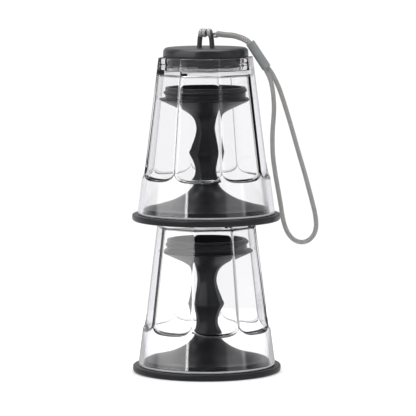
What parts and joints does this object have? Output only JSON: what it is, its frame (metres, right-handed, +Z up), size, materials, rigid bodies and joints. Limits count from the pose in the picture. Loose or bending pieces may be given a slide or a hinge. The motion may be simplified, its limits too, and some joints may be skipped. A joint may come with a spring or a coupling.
{
  "type": "camping goblet set",
  "caption": "Take-apart clear goblets with black feet and stems, packed into a screw-together lantern-shaped stack with a cap, hanging loop and wrist lanyard.",
  "frame": {"origin": "on the vertical axis, at the bottom of the lower foot", "axes": "+Z up the common axis of both goblets, -Y towards the front, +X towards the lanyard's side"},
  "size_m": [0.1198, 0.096, 0.2226],
  "materials": {
    "clear_plastic": "polished, fully clear",
    "black_plastic": "satin black moulding",
    "seal_rubber": "matt black",
    "steel": "plain zinc-plated",
    "grey_cord": "flat braided cord, warm light grey",
    "grey_sleeve": "mid grey, matt"
  },
  "bodies": {
    "lower_foot": {"lower_foot": "black_plastic", "lower_foot_seal": "seal_rubber", "lower_foot_gasket": "seal_rubber", "lower_stem": "black_plastic", "lower_stem_screw": "steel"},
    "lower_glass": {"lower_glass": "clear_plastic"},
    "stack_gasket": {"upper_foot_gasket": "seal_rubber"},
    "upper_foot": {"upper_foot": "black_plastic", "upper_foot_seal": "seal_rubber", "upper_stem": "black_plastic", "upper_stem_screw": "steel"},
    "upper_glass": {"upper_glass": "clear_plastic"},
    "cap_gasket": {"cap_gasket": "seal_rubber"},
    "cap": {"cap": "black_plastic", "cap_loop": "black_plastic", "lanyard_knot": "grey_cord", "lanyard_strand_back": "grey_cord", "lanyard_strand_front": "grey_cord", "lanyard_slider": "grey_sleeve", "lanyard_wrist_loop": "grey_cord"}
  },
  "joints": [
    {"name": "lower_glass_lift", "type": "slide", "parent": "lower_foot", "child": "lower_glass", "axis": [0, 0, 1], "range_m": [0, 0.09]},
    {"name": "stack_rise", "type": "slide", "parent": "lower_glass", "child": "stack_gasket", "axis": [0, 0, 1], "range_m": [0, 0.00533]},
    {"name": "stack_unscrew", "type": "hinge", "parent": "stack_gasket", "child": "upper_foot", "pos_m": [0, 0, 0.1012], "axis": [0, 0, 1], "range_deg": [0, 600]},
    {"name": "upper_glass_lift", "type": "slide", "parent": "upper_foot", "child": "upper_glass", "axis": [0, 0, 1], "range_m": [0, 0.09]},
    {"name": "cap_rise", "type": "slide", "parent": "upper_glass", "child": "cap_gasket", "axis": [0, 0, 1], "range_m": [0, 0.00533]},
    {"name": "cap_unscrew", "type": "hinge", "parent": "cap_gasket", "child": "cap", "pos_m": [0, 0, 0.2012], "axis": [0, 0, 1], "range_deg": [0, 600]}
  ],
  "couplings": [
    {"joint": "stack_rise", "follows": "stack_unscrew", "m_per_rad": 0.0005093},
    {"joint": "cap_rise", "follows": "cap_unscrew", "m_per_rad": 0.0005093}
  ]
}
